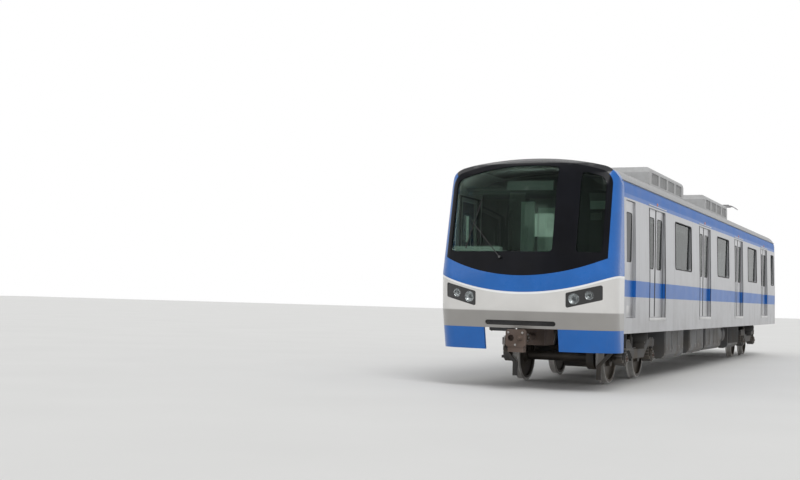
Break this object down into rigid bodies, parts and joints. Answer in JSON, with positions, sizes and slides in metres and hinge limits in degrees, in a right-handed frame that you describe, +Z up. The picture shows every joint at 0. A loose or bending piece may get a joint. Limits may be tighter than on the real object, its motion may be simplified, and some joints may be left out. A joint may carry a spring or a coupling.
{
  "type": "metro cab car",
  "caption": "Electric metro cab car with a raked dark-glazed nose, sliding saloon doors, bogies and a single-arm pantograph.",
  "frame": {"origin": "middle of the car's length and width, at the height of the wheels' flange tips", "axes": "+X towards the cab end, +Y to the left, +Z up"},
  "size_m": [20.75, 2.95, 4.3395],
  "materials": {
    "body_silver": "brushed sheet, satin",
    "door_silver": "brushed sheet, satin",
    "roof_grey": "matte roof paint",
    "frame_grey": "dark paint with dust",
    "bellows": "matte rubber",
    "glass_side": "tinted, clean",
    "mask_black": "gloss black",
    "blue": "gloss royal blue",
    "panel_white": "gloss warm white",
    "glass_front": "tinted, clear coat",
    "lamp_black": "satin black",
    "lens": "clear lens",
    "sign": "blank display",
    "cab_lining": "pale grey-green paint",
    "desk_grey": "moulded, matte",
    "seat_cloth": "woven seat cloth",
    "bench_blue": "moulded, satin",
    "steel": "brushed",
    "coupler_iron": "cast, dusty",
    "case_grey": "dark grey paint",
    "pan_red": "signal red-brown paint",
    "pan_steel": "bare steel tube",
    "bogie_grey": "dark grey paint with dust",
    "wheel_steel": "rolled tread, dusty web"
  },
  "bodies": {
    "carbody": {"side_wall_left": "body_silver", "side_wall_right": "body_silver", "roof": "roof_grey", "rear_wall": "body_silver", "underframe": "frame_grey", "gangway": "bellows", "side_glass": "glass_side", "nose_mask": "mask_black", "nose_surround": "blue", "lower_panel": "panel_white", "front_skirts": "blue", "front_glass": "glass_front", "emergency_exit": "mask_black", "headlamps": "lamp_black", "lamp_lenses": "lens", "destination_sign": "sign", "cab_partition": "cab_lining", "driver_desk": "desk_grey", "driver_seat": "desk_grey", "seat_cushions": "seat_cloth", "benches": "bench_blue", "grab_poles": "steel", "front_coupler": "coupler_iron", "rear_drawbar": "coupler_iron", "roof_coolers": "roof_grey", "underfloor_cases": "case_grey", "air_tanks": "case_grey", "pantograph_base": "pan_red"},
    "bogie_front": {"bogie_frame_front": "bogie_grey", "axleboxes_front": "bogie_grey", "air_springs_front": "bellows"},
    "wheelset_front_a": {"wheelset_front_a": "wheel_steel"},
    "wheelset_front_b": {"wheelset_front_b": "wheel_steel"},
    "bogie_rear": {"bogie_frame_rear": "bogie_grey", "axleboxes_rear": "bogie_grey", "air_springs_rear": "bellows"},
    "wheelset_rear_a": {"wheelset_rear_a": "wheel_steel"},
    "wheelset_rear_b": {"wheelset_rear_b": "wheel_steel"},
    "door_left_1_rear": {"door_left_1_rear": "door_silver"},
    "door_left_1_front": {"door_left_1_front": "door_silver"},
    "door_left_2_rear": {"door_left_2_rear": "door_silver"},
    "door_left_2_front": {"door_left_2_front": "door_silver"},
    "door_left_3_rear": {"door_left_3_rear": "door_silver"},
    "door_left_3_front": {"door_left_3_front": "door_silver"},
    "door_left_4_rear": {"door_left_4_rear": "door_silver"},
    "door_left_4_front": {"door_left_4_front": "door_silver"},
    "door_right_1_rear": {"door_right_1_rear": "door_silver"},
    "door_right_1_front": {"door_right_1_front": "door_silver"},
    "door_right_2_rear": {"door_right_2_rear": "door_silver"},
    "door_right_2_front": {"door_right_2_front": "door_silver"},
    "door_right_3_rear": {"door_right_3_rear": "door_silver"},
    "door_right_3_front": {"door_right_3_front": "door_silver"},
    "door_right_4_rear": {"door_right_4_rear": "door_silver"},
    "door_right_4_front": {"door_right_4_front": "door_silver"},
    "crew_door_left": {"crew_door_left": "body_silver"},
    "crew_door_right": {"crew_door_right": "body_silver"},
    "partition_door": {"partition_door": "cab_lining"},
    "pantograph_lower": {"pantograph_lower": "pan_red"},
    "pantograph_upper": {"pantograph_upper": "pan_steel"},
    "pantograph_head": {"pantograph_head": "pan_steel"}
  },
  "joints": [
    {"name": "bogie_front_swivel", "type": "hinge", "parent": "carbody", "child": "bogie_front", "pos_m": [6.525, 0, 0.7], "axis": [0, 0, 1], "range_deg": [-4, 4]},
    {"name": "wheelset_front_a_spin", "type": "hinge", "parent": "bogie_front", "child": "wheelset_front_a", "pos_m": [7.575, 0, 0.458], "axis": [0, 1, 0], "continuous": true},
    {"name": "wheelset_front_b_spin", "type": "hinge", "parent": "bogie_front", "child": "wheelset_front_b", "pos_m": [5.475, 0, 0.458], "axis": [0, 1, 0], "continuous": true},
    {"name": "bogie_rear_swivel", "type": "hinge", "parent": "carbody", "child": "bogie_rear", "pos_m": [-7.275, 0, 0.7], "axis": [0, 0, 1], "range_deg": [-4, 4]},
    {"name": "wheelset_rear_a_spin", "type": "hinge", "parent": "bogie_rear", "child": "wheelset_rear_a", "pos_m": [-6.225, 0, 0.458], "axis": [0, 1, 0], "continuous": true},
    {"name": "wheelset_rear_b_spin", "type": "hinge", "parent": "bogie_rear", "child": "wheelset_rear_b", "pos_m": [-8.325, 0, 0.458], "axis": [0, 1, 0], "continuous": true},
    {"name": "door_left_1_rear_slide", "type": "slide", "parent": "carbody", "child": "door_left_1_rear", "axis": [-1, 0, 0], "range_m": [0, 0.64]},
    {"name": "door_left_1_front_slide", "type": "slide", "parent": "carbody", "child": "door_left_1_front", "axis": [1, 0, 0], "range_m": [0, 0.64]},
    {"name": "door_left_2_rear_slide", "type": "slide", "parent": "carbody", "child": "door_left_2_rear", "axis": [-1, 0, 0], "range_m": [0, 0.64]},
    {"name": "door_left_2_front_slide", "type": "slide", "parent": "carbody", "child": "door_left_2_front", "axis": [1, 0, 0], "range_m": [0, 0.64]},
    {"name": "door_left_3_rear_slide", "type": "slide", "parent": "carbody", "child": "door_left_3_rear", "axis": [-1, 0, 0], "range_m": [0, 0.64]},
    {"name": "door_left_3_front_slide", "type": "slide", "parent": "carbody", "child": "door_left_3_front", "axis": [1, 0, 0], "range_m": [0, 0.64]},
    {"name": "door_left_4_rear_slide", "type": "slide", "parent": "carbody", "child": "door_left_4_rear", "axis": [-1, 0, 0], "range_m": [0, 0.64]},
    {"name": "door_left_4_front_slide", "type": "slide", "parent": "carbody", "child": "door_left_4_front", "axis": [1, 0, 0], "range_m": [0, 0.64]},
    {"name": "door_right_1_rear_slide", "type": "slide", "parent": "carbody", "child": "door_right_1_rear", "axis": [-1, 0, 0], "range_m": [0, 0.64]},
    {"name": "door_right_1_front_slide", "type": "slide", "parent": "carbody", "child": "door_right_1_front", "axis": [1, 0, 0], "range_m": [0, 0.64]},
    {"name": "door_right_2_rear_slide", "type": "slide", "parent": "carbody", "child": "door_right_2_rear", "axis": [-1, 0, 0], "range_m": [0, 0.64]},
    {"name": "door_right_2_front_slide", "type": "slide", "parent": "carbody", "child": "door_right_2_front", "axis": [1, 0, 0], "range_m": [0, 0.64]},
    {"name": "door_right_3_rear_slide", "type": "slide", "parent": "carbody", "child": "door_right_3_rear", "axis": [-1, 0, 0], "range_m": [0, 0.64]},
    {"name": "door_right_3_front_slide", "type": "slide", "parent": "carbody", "child": "door_right_3_front", "axis": [1, 0, 0], "range_m": [0, 0.64]},
    {"name": "door_right_4_rear_slide", "type": "slide", "parent": "carbody", "child": "door_right_4_rear", "axis": [-1, 0, 0], "range_m": [0, 0.64]},
    {"name": "door_right_4_front_slide", "type": "slide", "parent": "carbody", "child": "door_right_4_front", "axis": [1, 0, 0], "range_m": [0, 0.64]},
    {"name": "crew_door_left_hinge", "type": "hinge", "parent": "carbody", "child": "crew_door_left", "pos_m": [8.579, 1.372, 2], "axis": [0, 0, -1], "range_deg": [0, 85]},
    {"name": "crew_door_right_hinge", "type": "hinge", "parent": "carbody", "child": "crew_door_right", "pos_m": [8.579, -1.372, 2], "axis": [0, 0, 1], "range_deg": [0, 85]},
    {"name": "partition_door_hinge", "type": "hinge", "parent": "carbody", "child": "partition_door", "pos_m": [8.278, 0.29, 2], "axis": [0, 0, -1], "range_deg": [0, 85]},
    {"name": "pantograph_raise", "type": "hinge", "parent": "carbody", "child": "pantograph_lower", "pos_m": [-7.275, 0, 3.948], "axis": [0, -1, 0], "range_deg": [0, 44]},
    {"name": "pantograph_knee", "type": "hinge", "parent": "pantograph_lower", "child": "pantograph_upper", "pos_m": [-5.78071, 0, 4.07873], "axis": [0, -1, 0], "range_deg": [-88, 0]},
    {"name": "pantograph_head_level", "type": "hinge", "parent": "pantograph_upper", "child": "pantograph_head", "pos_m": [-7.275, 0, 4.20947], "axis": [0, -1, 0], "range_deg": [0, 44]}
  ],
  "couplings": [
    {"joint": "door_left_1_front_slide", "follows": "door_left_1_rear_slide", "ratio": 1},
    {"joint": "door_left_2_front_slide", "follows": "door_left_2_rear_slide", "ratio": 1},
    {"joint": "door_left_3_front_slide", "follows": "door_left_3_rear_slide", "ratio": 1},
    {"joint": "door_left_4_front_slide", "follows": "door_left_4_rear_slide", "ratio": 1},
    {"joint": "door_right_1_front_slide", "follows": "door_right_1_rear_slide", "ratio": 1},
    {"joint": "door_right_2_front_slide", "follows": "door_right_2_rear_slide", "ratio": 1},
    {"joint": "door_right_3_front_slide", "follows": "door_right_3_rear_slide", "ratio": 1},
    {"joint": "door_right_4_front_slide", "follows": "door_right_4_rear_slide", "ratio": 1},
    {"joint": "pantograph_knee", "follows": "pantograph_raise", "ratio": -2},
    {"joint": "pantograph_head_level", "follows": "pantograph_raise", "ratio": 1}
  ]
}
